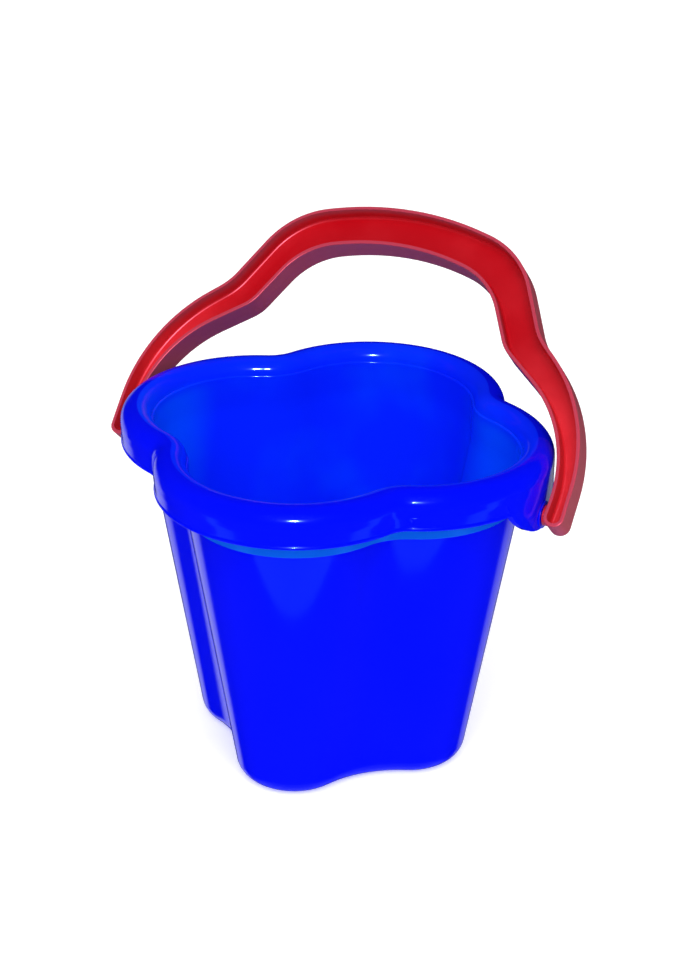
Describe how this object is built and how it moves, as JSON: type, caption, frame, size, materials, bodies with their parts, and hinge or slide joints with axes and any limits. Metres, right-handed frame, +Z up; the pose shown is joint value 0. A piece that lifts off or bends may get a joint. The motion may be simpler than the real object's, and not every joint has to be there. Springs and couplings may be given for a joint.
{
  "type": "sand bucket",
  "caption": "Child's moulded sand bucket with a four-lobed rolled rim, tapering fluted sides and a swinging snap-in carrying handle.",
  "frame": {"origin": "on the ground, under the middle of the bucket", "axes": "+Z up, X along the handle's pivot axis, +Y to the back, the side that the handle leans towards at rest"},
  "size_m": [0.2006, 0.18, 0.2082],
  "materials": {
    "bucket_plastic": "glossy, slightly translucent moulded polypropylene",
    "handle_plastic": "glossy moulded polypropylene"
  },
  "bodies": {
    "bucket": {"bucket": "bucket_plastic"},
    "handle": {"handle": "handle_plastic"}
  },
  "joints": [
    {"name": "handle_swing", "type": "hinge", "parent": "bucket", "child": "handle", "pos_m": [0, 0, 0.1204], "axis": [1, 0, 0], "range_deg": [-88, 172]}
  ]
}
